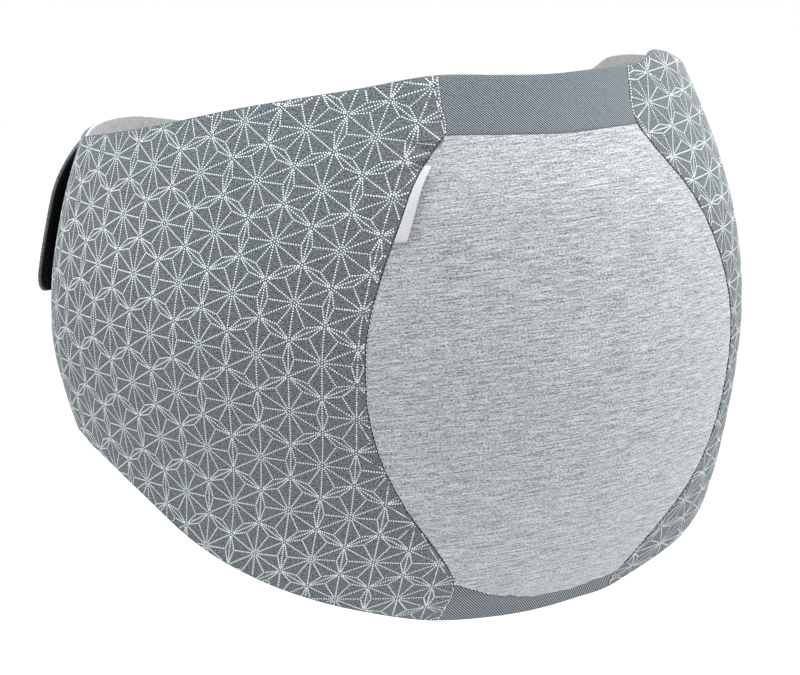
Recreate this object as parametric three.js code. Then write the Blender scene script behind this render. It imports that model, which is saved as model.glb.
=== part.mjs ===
// A maternity support belt, closed in a loop and holding the shape that it has when worn.
// Millimetres, +Z up. The wearer faces -Y, so the wearer's right is -X. The origin is inside
// the waist. Angles are in degrees from the middle of the belly (0) through the wearer's left
// (90) and the back (180) to the wearer's right (270, which is also -90).

import * as THREE from 'three';

// Size of the whole loop.
const FRONT_HEIGHT = 232; // top to bottom at the belly
const FRONT_REACH = 169; // origin to the fullest part of the belly
const HALF_WIDTH = 160; // origin to each side
const BACK_REACH = 88; // origin to the small of the back

// Thickness of each cloth.
const PANEL_WALL = 2.0; // printed cloth of the side panels
const FLAP_WALL = 1.5; // and of the flap
const JERSEY_WALL = 1.5; // belly panel
const ELASTIC_WALL = 1.4; // both elastic bands
const LINING_WALL = 1.2; // on the inside of the side panels

// Clearances between neighbours.
const SEAM_GAP = 0.4; // between two cloths that meet edge to edge
const LAYER_GAP = 0.5; // between two layers that lie on each other

// The belly panel, between the two elastic bands and the two side panels.
const BELLY_SPREAD = 36.2; // degrees from the middle to the belly seam at its widest
const BAND_WIDTH = 24.6; // upper elastic, top to bottom
const HEM_NARROW = 7; // lower elastic that shows under the jersey where it is narrowest
const HEM_WIDE = 18; // and at its wide end
const HEM_TURN = 6.5; // degrees at which it is narrowest
const HEM_SPREAD = 26; // degrees from there to its full width

// The side panels end at the back, the wearer's left one where the flap goes on.
const LEFT_PANEL_END = 150;
const RIGHT_PANEL_END = 168;

const LINING_INSET = 0.8; // the lining's edges inside the panel's edges

// The upper edge rises in a soft wave over the wearer's left hip, and behind the right hip,
// where it stands above the flap.
const LEFT_WAVE_HEIGHT = 9.9;
const RIGHT_WAVE_HEIGHT = 10.3;
const LEFT_WAVE = [47, 115]; // degrees from the front in which it rises and falls
const RIGHT_WAVE = [90, 174]; // the same behind the right hip

// The closure flap laps over the wearer's right panel at the back, and its end stands off.
const FLAP_TIP = 246; // degrees
const FLAP_HEIGHT = 66; // at its tip
const FLAP_TOP_CORNER = 24; // height of its rounded upper corner
const FLAP_TOP_DRAW = 15; // how far that corner draws back
const FLAP_CORNER = 9; // radius of its lower corner
const FLAP_LIFT = 5.2; // how far its tip stands off
const FLAP_STEP = [155, 186]; // degrees in which it climbs onto the other panel
const FLAP_TAPER = [150, 205]; // degrees in which it narrows
const FLAP_CURL = [210, FLAP_TIP]; // degrees in which it lifts off
const HOOK_WALL = 1.2;
const HOOK_START = 214; // degrees
const HOOK_MARGIN = 1.2; // hook tape inside the flap's edges

// The white tab sewn into the seam between the wearer's right panel and the belly panel.
const LABEL_TOP = 0.276 * FRONT_HEIGHT; // height of its upper end
const LABEL_LENGTH = 29;
const LABEL_WIDTH_TOP = 3.4;
const LABEL_WIDTH_BOTTOM = 5.6;
const LABEL_WALL = 1.0;
const LABEL_LIFT = 1.2; // its free edge stands off the jersey

// Plan of the loop at each level. The level is a share of FRONT_HEIGHT, front of FRONT_REACH,
// left and right, which are the wearer's, of HALF_WIDTH, and back of BACK_REACH.
const PLAN_TABLE = [
  { level: -0.6, front: 0.57, left: 0.84, right: 0.84, back: 0.78 },
  { level: -0.5, front: 0.71, left: 0.88, right: 0.88, back: 0.8 },
  { level: -0.4, front: 0.83, left: 0.9, right: 0.908, back: 0.82 },
  { level: -0.3, front: 0.915, left: 0.92, right: 0.922, back: 0.84 },
  { level: -0.2, front: 0.965, left: 0.956, right: 0.947, back: 0.87 },
  { level: -0.1, front: 0.995, left: 0.985, right: 0.98, back: 0.94 },
  { level: 0.0, front: 1.0, left: 1.0, right: 1.0, back: 1.0 },
  { level: 0.1, front: 0.995, left: 1.0, right: 0.988, back: 0.97 },
  { level: 0.2, front: 0.975, left: 0.98, right: 0.955, back: 0.89 },
  { level: 0.3, front: 0.935, left: 0.945, right: 0.91, back: 0.78 },
  { level: 0.4, front: 0.89, left: 0.9, right: 0.848, back: 0.66 },
  { level: 0.5, front: 0.85, left: 0.855, right: 0.78, back: 0.55 },
];

// Upper and lower edge of the belt, as shares of FRONT_HEIGHT, at degrees from the front.
// Negative degrees are on the wearer's right.
const EDGE_TABLE = [
  { angle: -180, top: 0.358, bottom: -0.043 },
  { angle: -150, top: 0.362, bottom: -0.09 },
  { angle: -105, top: 0.376, bottom: -0.157 },
  { angle: -90, top: 0.382, bottom: -0.19 },
  { angle: -80, top: 0.386, bottom: -0.265 },
  { angle: -70, top: 0.392, bottom: -0.349 },
  { angle: -55, top: 0.407, bottom: -0.44 },
  { angle: -45, top: 0.414, bottom: -0.484 },
  { angle: -35, top: 0.42, bottom: -0.519 },
  { angle: -20, top: 0.43, bottom: -0.561 },
  { angle: -10, top: 0.42, bottom: -0.574 },
  { angle: 0, top: 0.411, bottom: -0.58 },
  { angle: 10, top: 0.41, bottom: -0.577 },
  { angle: 20, top: 0.413, bottom: -0.57 },
  { angle: 35, top: 0.417, bottom: -0.523 },
  { angle: 45, top: 0.415, bottom: -0.482 },
  { angle: 55, top: 0.408, bottom: -0.436 },
  { angle: 70, top: 0.392, bottom: -0.342 },
  { angle: 80, top: 0.386, bottom: -0.252 },
  { angle: 90, top: 0.382, bottom: -0.182 },
  { angle: 105, top: 0.376, bottom: -0.155 },
  { angle: 150, top: 0.362, bottom: -0.09 },
  { angle: 180, top: 0.358, bottom: -0.043 },
];

// Front edges of the wearer's left and right side panels, as shares of BELLY_SPREAD.
const SEAM_TABLE = [
  { level: -0.6, left: 0.55, right: 0.56 },
  { level: -0.53, left: 0.48, right: 0.55 },
  { level: -0.48, left: 0.56, right: 0.56 },
  { level: -0.41, left: 0.73, right: 0.69 },
  { level: -0.33, left: 0.885, right: 0.85 },
  { level: -0.25, left: 0.965, right: 0.955 },
  { level: -0.15, left: 1.005, right: 1.005 },
  { level: -0.05, left: 0.98, right: 0.985 },
  { level: 0.06, left: 0.86, right: 0.92 },
  { level: 0.17, left: 0.695, right: 0.81 },
  { level: 0.26, left: 0.51, right: 0.69 },
  { level: 0.3, left: 0.45, right: 0.61 },
  { level: 0.325, left: 0.45, right: 0.56 },
  { level: 0.43, left: 0.53, right: 0.555 },
];

const mix = (from, to, share) => from + (to - from) * share;

const clamp = (value) => Math.min(1, Math.max(0, value));

function ramp(value, [from, to]) {
  const share = clamp((value - from) / (to - from));
  return share * share * (3 - 2 * share);
}

// Smooth curve through one column of a table, level beyond the table's ends.
function readTable(table, inputName, outputName, input) {
  const last = table.length - 1;
  const x = Math.min(table[last][inputName], Math.max(table[0][inputName], input));
  let index = 0;
  while (index < last - 1 && x > table[index + 1][inputName]) index += 1;
  const step = (i) => table[i + 1][inputName] - table[i][inputName];
  const slope = (i) => (table[i + 1][outputName] - table[i][outputName]) / step(i);
  const tangent = (i) => {
    if (i === 0 || i === last) return 0;
    return (slope(i - 1) * step(i) + slope(i) * step(i - 1)) / (step(i - 1) + step(i));
  };
  const width = step(index);
  const t = (x - table[index][inputName]) / width;
  const startWeight = (1 + 2 * t) * (1 - t) ** 2;
  const endWeight = t * t * (3 - 2 * t);
  return startWeight * table[index][outputName] + endWeight * table[index + 1][outputName]
    + t * (1 - t) ** 2 * width * tangent(index)
    + t * t * (t - 1) * width * tangent(index + 1);
}

// The same angle from -180 to 180.
const wrapped = (angle) => angle - 360 * Math.round(angle / 360);

// Point of the outer surface at an angle and a height.
function loopPoint(angle, height) {
  const level = height / FRONT_HEIGHT;
  const turn = THREE.MathUtils.degToRad(angle);
  const front = FRONT_REACH * readTable(PLAN_TABLE, 'level', 'front', level);
  const hip = Math.sin(turn) > 0 ? 'left' : 'right';
  const side = HALF_WIDTH * readTable(PLAN_TABLE, 'level', hip, level);
  const back = BACK_REACH * readTable(PLAN_TABLE, 'level', 'back', level);
  const depth = Math.cos(turn) > 0 ? front : back;
  return new THREE.Vector3(side * Math.sin(turn), -depth * Math.cos(turn), height);
}

// The same point moved out of the loop by an offset, or into it where that is negative.
function offsetPoint(angle, height, offset) {
  const along = loopPoint(angle + 0.5, height).sub(loopPoint(angle - 0.5, height));
  const up = loopPoint(angle, height + 1).sub(loopPoint(angle, height - 1));
  const outward = along.cross(up).normalize();
  return loopPoint(angle, height).addScaledVector(outward, offset);
}

// Length of one degree along the loop at an angle and a height.
function degreeLength(angle, height) {
  return loopPoint(angle + 0.5, height).distanceTo(loopPoint(angle - 0.5, height));
}

// Heights of the lines that divide the belt, from its upper to its lower edge.
const topEdge = (angle) => FRONT_HEIGHT * readTable(EDGE_TABLE, 'angle', 'top', wrapped(angle));
const bottomEdge = (angle) => (
  FRONT_HEIGHT * readTable(EDGE_TABLE, 'angle', 'bottom', wrapped(angle))
);
const bandEdge = (angle) => topEdge(angle) - BAND_WIDTH;
const hemEdge = (angle) => {
  const away = clamp(Math.abs(wrapped(angle) - HEM_TURN) / HEM_SPREAD);
  return bottomEdge(angle) + mix(HEM_NARROW, HEM_WIDE, away ** 2);
};

const ZONES = {
  upper: { from: topEdge, to: bandEdge, rows: 2 },
  belly: { from: bandEdge, to: hemEdge, rows: 12 },
  lower: { from: hemEdge, to: bottomEdge, rows: 2 },
};

const heightIn = (zone, angle, share) => mix(zone.from(angle), zone.to(angle), share);

// Angle of a side panel's front edge at a height. Turned is 1 for the wearer's left and -1 for
// the right.
const seamAngle = (turned, height) => {
  const side = turned > 0 ? 'left' : 'right';
  return turned * BELLY_SPREAD * readTable(SEAM_TABLE, 'level', side, height / FRONT_HEIGHT);
};

// Angle at which the line at a share of a zone's height meets the side panel's front edge.
function seamAngleIn(turned, zone, share) {
  let angle = (turned * BELLY_SPREAD) / 2;
  for (let pass = 0; pass < 20; pass += 1) {
    angle = mix(angle, seamAngle(turned, heightIn(zone, angle, share)), 0.7);
  }
  return angle;
}

function shares(count) {
  return Array.from({ length: count + 1 }, (_, index) => index / count);
}

// A closed sheet from a grid of places: place(row, column, face) gives a point, with face 1
// on the outside and 0 on the inside of the loop.
function closedSheet(name, rows, columns, place, finish) {
  const positions = [];
  const index = [];
  const faceSize = rows.length * columns.length;
  for (const face of [1, 0]) {
    for (const row of rows) {
      for (const column of columns) positions.push(...place(row, column, face).toArray());
    }
  }
  const at = (face, row, column) => (1 - face) * faceSize + row * columns.length + column;
  const addQuad = (a, b, c, d) => index.push(a, b, c, a, c, d);
  const addRim = (from, to) => addQuad(at(1, ...from), at(0, ...from), at(0, ...to), at(1, ...to));
  const lastRow = rows.length - 1;
  const lastColumn = columns.length - 1;
  for (let row = 0; row < lastRow; row += 1) {
    for (let column = 0; column < lastColumn; column += 1) {
      const next = column + 1;
      addQuad(at(1, row, column), at(1, row + 1, column), at(1, row + 1, next), at(1, row, next));
      addQuad(at(0, row, column), at(0, row, next), at(0, row + 1, next), at(0, row + 1, column));
    }
    addRim([row, 0], [row + 1, 0]);
    addRim([row + 1, lastColumn], [row, lastColumn]);
  }
  for (let column = 0; column < lastColumn; column += 1) {
    addRim([0, column + 1], [0, column]);
    addRim([lastRow, column], [lastRow, column + 1]);
  }
  const geometry = new THREE.BufferGeometry();
  geometry.setAttribute('position', new THREE.Float32BufferAttribute(positions, 3));
  geometry.setIndex(index);
  geometry.computeVertexNormals();
  const mesh = new THREE.Mesh(geometry, new THREE.MeshStandardMaterial({ ...finish, metalness: 0 }));
  mesh.name = name;
  return mesh;
}

const PRINT = { color: 0x73797c, roughness: 0.9 };
const JERSEY = { color: 0xbfc2c4, roughness: 0.95 };
const ELASTIC = { color: 0x777b7e, roughness: 0.85 };
const LINING = { color: 0xc9cbcc, roughness: 0.95 };
const HOOKS = { color: 0x1b1c1e, roughness: 0.8 };
const TAB = { color: 0xf1f1ef, roughness: 0.7 };

// How far a wave lifts the upper edge, at degrees from the front on either side.
function waveRise(turned, fromFront) {
  const [start, end] = turned > 0 ? LEFT_WAVE : RIGHT_WAVE;
  const height = turned > 0 ? LEFT_WAVE_HEIGHT : RIGHT_WAVE_HEIGHT;
  return height * Math.sin(clamp((fromFront - start) / (end - start)) * Math.PI) ** 2;
}

// One layer of a side, from the belly seam round to the back. Inset draws its edges in, and
// outside is the offset of its outer face.
function sideLayer(name, turned, endAngle, { inset, outside, wall }, finish) {
  const end = turned * endAngle;
  const rows = [];
  for (const zone of Object.values(ZONES)) {
    for (const share of shares(zone.rows).slice(rows.length ? 1 : 0)) {
      rows.push({ zone, share, start: seamAngleIn(turned, zone, share) });
    }
  }
  const place = ({ zone, share, start }, column, face) => {
    const degree = degreeLength(start, heightIn(zone, start, share));
    const endDegree = degreeLength(end, 0);
    const from = start + (turned * (SEAM_GAP / 2 + inset)) / degree;
    const angle = mix(from, end - (turned * inset) / endDegree, column);
    const low = bottomEdge(angle) + inset;
    const high = topEdge(angle) - inset;
    const height = Math.min(high, Math.max(low, heightIn(zone, angle, share)));
    const rise = waveRise(turned, Math.abs(angle)) * clamp((height - low) / (high - low)) ** 2;
    return offsetPoint(angle, height + rise, outside - (1 - face) * wall);
  };
  // Columns run the way that keeps the outer face turned outwards on both sides.
  const columns = shares(26);
  if (turned < 0) columns.reverse();
  return closedSheet(name, rows, columns, place, finish);
}

const PANEL_LAYER = { inset: 0, outside: 0, wall: PANEL_WALL };
const LINING_LAYER = { inset: LINING_INSET, outside: -PANEL_WALL - LAYER_GAP, wall: LINING_WALL };

// A cloth between the two side panels: the belly panel or one of the elastic bands.
function frontPanel(name, zone, gapAbove, gapBelow, wall, finish) {
  const recess = (PANEL_WALL - wall) / 2;
  const rows = shares(zone.rows).map((share) => ({
    share,
    start: seamAngleIn(-1, zone, share),
    end: seamAngleIn(1, zone, share),
  }));
  const place = ({ share, start, end }, column, face) => {
    const startGap = SEAM_GAP / 2 / degreeLength(start, heightIn(zone, start, share));
    const endGap = SEAM_GAP / 2 / degreeLength(end, heightIn(zone, end, share));
    const angle = mix(start + startGap, end - endGap, column);
    const height = mix(zone.from(angle) - gapAbove, zone.to(angle) + gapBelow, share);
    return offsetPoint(angle, height, -recess - (1 - face) * wall);
  };
  return closedSheet(name, rows, shares(18), place, finish);
}

// Inner face of the flap: flush with the left panel, then over the right one, then lifting off,
// less so along its upper edge. Share is of the flap's height, from its upper edge.
function flapOffset(angle, share) {
  const over = 2 * LAYER_GAP + HOOK_WALL;
  const lift = FLAP_LIFT * mix(0.5, 1, ramp(share, [0, 0.4]));
  return mix(-FLAP_WALL, over, ramp(angle, FLAP_STEP)) + lift * ramp(angle, FLAP_CURL);
}

const flapTop = (angle) => topEdge(angle);
const flapBottom = (angle) => (
  mix(bottomEdge(angle), topEdge(angle) - FLAP_HEIGHT, ramp(angle, FLAP_TAPER))
);

// How far the flap's rounded end draws back at a share of its height, for a margin inside it.
function cornerDraw(share, margin) {
  const below = share * FLAP_HEIGHT;
  const nearTop = clamp(1 - (below - margin) / (FLAP_TOP_CORNER - margin));
  const nearBottom = clamp(1 - (FLAP_HEIGHT - below - margin) / (FLAP_CORNER - margin));
  return margin + (FLAP_TOP_DRAW - margin) * (1 - Math.sqrt(1 - nearTop ** 2))
    + (FLAP_CORNER - margin) * (1 - Math.sqrt(1 - nearBottom ** 2));
}

const ROUNDED_ROWS = [0, 0.02, 0.06, 0.12, 0.2, 0.3, 0.42, 0.56, 0.7, 0.82, 0.89, 0.94, 0.98, 1];

function closureFlap() {
  const place = (row, column, face) => {
    const middle = (flapTop(FLAP_TIP) + flapBottom(FLAP_TIP)) / 2;
    const degree = degreeLength(FLAP_TIP, middle);
    const start = LEFT_PANEL_END + SEAM_GAP / degreeLength(LEFT_PANEL_END, middle);
    const angle = mix(start, FLAP_TIP - cornerDraw(row, 0) / degree, column);
    const height = mix(flapTop(angle), flapBottom(angle), row);
    return offsetPoint(angle, height, flapOffset(angle, row) + face * FLAP_WALL);
  };
  return closedSheet('closure_flap', ROUNDED_ROWS, shares(22), place, PRINT);
}

function hookTape() {
  const edge = HOOK_MARGIN / FLAP_HEIGHT;
  const place = (row, column, face) => {
    const share = mix(edge, 1 - edge, row);
    const middle = (flapTop(FLAP_TIP) + flapBottom(FLAP_TIP)) / 2;
    const draw = cornerDraw(share, HOOK_MARGIN) / degreeLength(FLAP_TIP, middle);
    const angle = mix(HOOK_START, FLAP_TIP - draw, column);
    const height = mix(flapTop(angle), flapBottom(angle), share);
    const offset = flapOffset(angle, share) - LAYER_GAP - (1 - face) * HOOK_WALL;
    return offsetPoint(angle, height, offset);
  };
  return closedSheet('hook_tape', ROUNDED_ROWS, shares(10), place, HOOKS);
}

function seamLabel() {
  const base = -(PANEL_WALL - JERSEY_WALL) / 2 + LAYER_GAP;
  const place = (row, column, face) => {
    const height = LABEL_TOP - row * LABEL_LENGTH;
    const edge = seamAngle(-1, height);
    const width = mix(LABEL_WIDTH_TOP, LABEL_WIDTH_BOTTOM, row);
    const angle = edge + (SEAM_GAP + column * width) / degreeLength(edge, height);
    return offsetPoint(angle, height, base + column * LABEL_LIFT + face * LABEL_WALL);
  };
  return closedSheet('seam_label', shares(6), shares(3), place, TAB);
}

const belt = new THREE.Group();
belt.add(sideLayer('side_panel_right', -1, RIGHT_PANEL_END, PANEL_LAYER, PRINT));
belt.add(sideLayer('side_panel_left', 1, LEFT_PANEL_END, PANEL_LAYER, PRINT));
belt.add(sideLayer('lining_right', -1, RIGHT_PANEL_END, LINING_LAYER, LINING));
belt.add(sideLayer('lining_left', 1, LEFT_PANEL_END, LINING_LAYER, LINING));
belt.add(frontPanel('belly_panel', ZONES.belly, SEAM_GAP / 2, SEAM_GAP / 2, JERSEY_WALL, JERSEY));
belt.add(frontPanel('upper_band', ZONES.upper, 0, SEAM_GAP / 2, ELASTIC_WALL, ELASTIC));
belt.add(frontPanel('lower_band', ZONES.lower, SEAM_GAP / 2, 0, ELASTIC_WALL, ELASTIC));
belt.add(closureFlap());
belt.add(hookTape());
belt.add(seamLabel());

export default belt;
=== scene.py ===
"""A maternity support belt in printed stretch cloth, closed in a loop as it is worn.

Lengths are in millimetres and angles in degrees, as in the CAD model, and meshes are made in
metres. Angles run from the middle of the belly (0) through the wearer's left (90) and the
back (180) to the wearer's right (270, which is also -90).
"""

import math

import bmesh
import bpy
import numpy as np
from mathutils import Matrix, Vector


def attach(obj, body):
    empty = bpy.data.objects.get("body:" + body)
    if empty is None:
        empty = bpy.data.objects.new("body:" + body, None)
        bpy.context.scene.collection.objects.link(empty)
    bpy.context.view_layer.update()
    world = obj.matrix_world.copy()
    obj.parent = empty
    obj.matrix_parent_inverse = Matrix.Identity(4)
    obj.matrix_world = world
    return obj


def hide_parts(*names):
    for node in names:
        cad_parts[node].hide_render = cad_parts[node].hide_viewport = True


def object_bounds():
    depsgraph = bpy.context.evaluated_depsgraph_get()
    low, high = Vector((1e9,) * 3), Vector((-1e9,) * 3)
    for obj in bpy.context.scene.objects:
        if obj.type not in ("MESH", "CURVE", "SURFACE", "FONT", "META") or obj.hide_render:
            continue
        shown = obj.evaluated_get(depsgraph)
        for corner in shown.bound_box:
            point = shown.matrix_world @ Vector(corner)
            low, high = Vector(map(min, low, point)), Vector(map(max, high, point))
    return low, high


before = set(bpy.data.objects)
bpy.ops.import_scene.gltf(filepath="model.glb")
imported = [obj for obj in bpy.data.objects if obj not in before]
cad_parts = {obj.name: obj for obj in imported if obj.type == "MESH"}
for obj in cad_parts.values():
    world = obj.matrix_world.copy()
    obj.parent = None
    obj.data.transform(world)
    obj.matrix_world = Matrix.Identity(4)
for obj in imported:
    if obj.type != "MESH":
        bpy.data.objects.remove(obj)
cad_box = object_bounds()

MM = 0.001

# Size of the whole loop, as in the CAD model, and the thickness of each cloth, which is finer.
FRONT_HEIGHT = 232
FRONT_REACH = 169
HALF_WIDTH = 160
BACK_REACH = 88
PANEL_WALL = 1.3
FLAP_WALL = 1.3
JERSEY_WALL = 1.1
ELASTIC_WALL = 1.1
LINING_WALL = 1.0

SEAM_GAP = 0.12  # between two cloths that are sewn edge to edge
LAYER_GAP = 0.5  # between two layers that lie on each other

BELLY_SPREAD = 36.2  # degrees from the middle of the belly to its seams
BAND_WIDTH = 24.6  # of the upper elastic
HEM_NARROW = 7  # width of the lower elastic at its narrowest
HEM_WIDE = 18  # and towards its ends
HEM_TURN = 6.5  # degrees at which it is narrowest
HEM_SPREAD = 26  # degrees from there to its full width

LEFT_PANEL_END = 150  # degrees from the front, like the next
RIGHT_PANEL_END = 168
LINING_INSET = 0.8  # inside the printed cloth's edges
LINING_SHOWS = 2.0  # above the printed cloth where the upper edge rises

LEFT_WAVE_HEIGHT = 8.5
RIGHT_WAVE_HEIGHT = 9.2
LEFT_WAVE = (54, 120)  # degrees from the front in which the upper edge rises and falls
RIGHT_WAVE = (90, 174)

# The closure flap goes on from the left panel and laps over the right one.
FLAP_TIP = 246
FLAP_HEIGHT = 66
FLAP_TOP_CORNER = 24
FLAP_TOP_DRAW = 15  # how far its upper corner draws back
FLAP_CORNER = 9
FLAP_LIFT = 5.2  # of its free end, off the panel below
FLAP_STEP = (155, 186)  # degrees over which it steps up on to the right panel
FLAP_TAPER = (150, 205)  # over which it narrows to its height
FLAP_CURL = (210, FLAP_TIP)  # and over which it lifts
HOOK_WALL = 1.2
HOOK_START = 214
HOOK_MARGIN = 0.5  # from the flap's edge

LABEL_TOP = 0.276 * FRONT_HEIGHT
LABEL_LENGTH = 29
LABEL_WIDTH_TOP = 3.4
LABEL_WIDTH_BOTTOM = 5.6
LABEL_WALL = 0.8
LABEL_LIFT = 1.4  # of its free edge
LABEL_LINES = (26, 13)  # down it and across it

# The jersey's lower edge waves a little over the lower elastic.
HEM_WAVE = 0.35
HEM_WAVE_TURN = 9.5  # degrees from crest to crest
HEM_WAVE_END = 17.0  # degrees from the front at which it dies out

# Columns and rows of the cloths' meshes.
PANEL_COLUMNS = 170
LINING_COLUMNS = 110
COLUMN_CROWD = 1.35  # a side's columns lie closer together at the belly seam
FRONT_COLUMNS = 92
BELLY_ROWS = 84
UPPER_ROWS = 10
LOWER_ROWS = 7
FLAP_COLUMNS = 120
HOOK_COLUMNS = 44

# Creases in the printed cloth over the label. Columns: height at the belly seam, rise for each
# millimetre away from it, reach and depth.
CREASES = (
    (69.5, 0.28, 11, 1.3),
    (64.5, -0.25, 9, 1.0),
)
CREASED_SHARE = 0.07  # the rows lie closer together down to this share of the belly's height

# The print is a star lattice on the flattened cloth. Places there are millimetres along the
# loop from PRINT_START degrees on that side, and up the cloth from height 0. Along and down
# are the steps from star to star. Bend is what the cloth's stretch adds for each step squared,
# within BENT_STARS of the first star.
PRINT_START = 60
BENT_STARS = 5.0  # the lattice runs straight beyond them
PRINT_REACH = 19  # stars drawn on each side of a side panel's first star
FLAP_PRINT_REACH = 22
RIGHT_LATTICE = {
    "star": (25.4, -4.0),
    "along": (26.4, -5.5),
    "down": (8.7, -24.9),
    "along_bend": (0.5, -0.2),
    "down_bend": (0.0, 0.12),
}
LEFT_LATTICE = {
    "star": (-102.5, 80.2),
    "along": (31.8, -10.2),
    "down": (-0.3, -24.7),
    "along_bend": (0.0, 0.0),
    "down_bend": (0.0, 0.0),
}
DOT_PITCH = 1.07
DOT_RADIUS = 0.49  # at the foot of each dot, which is sunk in the cloth
DOT_TOP = 0.055
DOT_FOOT = -0.02
EDGE_POINT = 0.83  # how far the short lines reach to the middle of the star's sides
STAR_HEART = 1.25  # the lines stop this far from a star's middle
CORNER_HEART = 1.2  # and this far from the corners where they meet
PRINT_MARGIN = 0.7  # dots stay this far inside the cloth's edges

SEAM_STITCH = {"pitch": 2.0, "length": 1.1, "radius": 0.3, "inset": 0.2}
BAND_STITCH = {"pitch": 1.5, "length": 1.0, "radius": 0.27, "inset": 0.5}
FLAP_STITCH = {"pitch": 2.6, "length": 1.9, "radius": 0.19, "inset": 3.2}
BAND_STITCH_SWAY = 0.18  # how far the stitches beside the elastics stray from their line
STITCH_SIDES = 6
DOT_SIDES = 5

# Plan of the loop at each level, which is a share of FRONT_HEIGHT.
# Columns: level, front of FRONT_REACH, left and right of HALF_WIDTH, back of BACK_REACH.
PLAN_TABLE = (
    (-0.6, 0.57, 0.84, 0.84, 0.78),
    (-0.5, 0.71, 0.88, 0.88, 0.8),
    (-0.4, 0.83, 0.9, 0.908, 0.82),
    (-0.3, 0.915, 0.92, 0.922, 0.84),
    (-0.2, 0.965, 0.956, 0.947, 0.87),
    (-0.1, 0.995, 0.985, 0.98, 0.94),
    (0.0, 1.0, 1.0, 1.0, 1.0),
    (0.1, 0.995, 1.0, 0.988, 0.97),
    (0.2, 0.975, 0.98, 0.955, 0.89),
    (0.3, 0.935, 0.945, 0.91, 0.78),
    (0.4, 0.89, 0.9, 0.848, 0.66),
    (0.5, 0.85, 0.855, 0.78, 0.55),
)
FRONT, LEFT, RIGHT, BACK = 1, 2, 3, 4

# Upper and lower edge of the belt. Columns: degrees from the front, negative on the wearer's
# right, then top and bottom as shares of FRONT_HEIGHT.
EDGE_TABLE = (
    (-180, 0.358, -0.043),
    (-150, 0.362, -0.09),
    (-105, 0.376, -0.157),
    (-90, 0.382, -0.19),
    (-80, 0.386, -0.265),
    (-70, 0.392, -0.349),
    (-55, 0.407, -0.44),
    (-45, 0.414, -0.484),
    (-35, 0.42, -0.519),
    (-20, 0.43, -0.561),
    (-10, 0.42, -0.574),
    (0, 0.411, -0.58),
    (10, 0.41, -0.577),
    (20, 0.412, -0.57),
    (24, 0.415, -0.556),
    (29, 0.43, -0.541),
    (35, 0.427, -0.523),
    (45, 0.408, -0.482),
    (55, 0.394, -0.436),
    (70, 0.392, -0.342),
    (80, 0.386, -0.252),
    (90, 0.382, -0.182),
    (105, 0.376, -0.155),
    (150, 0.362, -0.09),
    (180, 0.358, -0.043),
)
TOP, BOTTOM = 1, 2

# Front edges of the side panels. Columns: level, then the wearer's left and right edge as
# shares of BELLY_SPREAD.
SEAM_TABLE = (
    (-0.6, 0.55, 0.56),
    (-0.53, 0.48, 0.55),
    (-0.48, 0.56, 0.56),
    (-0.41, 0.73, 0.69),
    (-0.33, 0.885, 0.85),
    (-0.25, 0.965, 0.955),
    (-0.15, 1.005, 1.005),
    (-0.05, 0.98, 0.985),
    (0.06, 0.86, 0.92),
    (0.17, 0.695, 0.815),
    (0.26, 0.51, 0.705),
    (0.3, 0.45, 0.625),
    (0.325, 0.44, 0.565),
    (0.38, 0.49, 0.563),
    (0.43, 0.53, 0.56),
)
SEAM_LEFT, SEAM_RIGHT = 1, 2


# Shape of the loop


def mix(start, end, share):
    return start + (end - start) * share


def ramp(value, limits):
    share = np.clip((value - limits[0]) / (limits[1] - limits[0]), 0, 1)
    return share * share * (3 - 2 * share)


def read_table(rows, column, value):
    """Smooth curve through one column of a table, level beyond the table's ends."""
    table = np.array(rows, float)
    at, out = table[:, 0], table[:, column]
    step = np.diff(at)
    slope = np.diff(out) / step
    tangent = np.zeros(len(at))
    tangent[1:-1] = (slope[:-1] * step[1:] + slope[1:] * step[:-1]) / (step[:-1] + step[1:])
    x = np.clip(value, at[0], at[-1])
    index = np.clip(np.searchsorted(at, x) - 1, 0, len(step) - 1)
    width = step[index]
    t = (x - at[index]) / width
    return (
        (1 + 2 * t) * (1 - t) ** 2 * out[index]
        + t * t * (3 - 2 * t) * out[index + 1]
        + t * (1 - t) ** 2 * width * tangent[index]
        + t * t * (t - 1) * width * tangent[index + 1]
    )


def wrapped(angle):
    """The same angle from -180 to 180."""
    return angle - 360 * np.round(np.asarray(angle) / 360)


def loop_point(angle, height):
    """Points of the outer surface."""
    angle, height = np.broadcast_arrays(np.asarray(angle, float), np.asarray(height, float))
    level = height / FRONT_HEIGHT
    turn = np.radians(angle)
    left = read_table(PLAN_TABLE, LEFT, level)
    right = read_table(PLAN_TABLE, RIGHT, level)
    front = FRONT_REACH * read_table(PLAN_TABLE, FRONT, level)
    back = BACK_REACH * read_table(PLAN_TABLE, BACK, level)
    side = HALF_WIDTH * np.where(np.sin(turn) > 0, left, right)
    depth = np.where(np.cos(turn) > 0, front, back)
    return np.stack([side * np.sin(turn), -depth * np.cos(turn), height], axis=-1)


def outward(angle, height):
    """Direction straight out of the loop's surface."""
    along = loop_point(angle + 0.5, height) - loop_point(angle - 0.5, height)
    up = loop_point(angle, height + 1) - loop_point(angle, height - 1)
    normal = np.cross(along, up)
    return normal / np.linalg.norm(normal, axis=-1, keepdims=True)


def offset_point(angle, height, offset):
    offset = np.asarray(offset, float)
    return loop_point(angle, height) + outward(angle, height) * offset[..., None]


def degree_length(angle, height):
    """Length of a degree of the loop there."""
    ahead = loop_point(angle + 0.5, height)
    return np.linalg.norm(ahead - loop_point(angle - 0.5, height), axis=-1)


def top_edge(angle):
    return FRONT_HEIGHT * read_table(EDGE_TABLE, TOP, wrapped(angle))


def bottom_edge(angle):
    return FRONT_HEIGHT * read_table(EDGE_TABLE, BOTTOM, wrapped(angle))


def band_edge(angle):
    return top_edge(angle) - BAND_WIDTH


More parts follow.
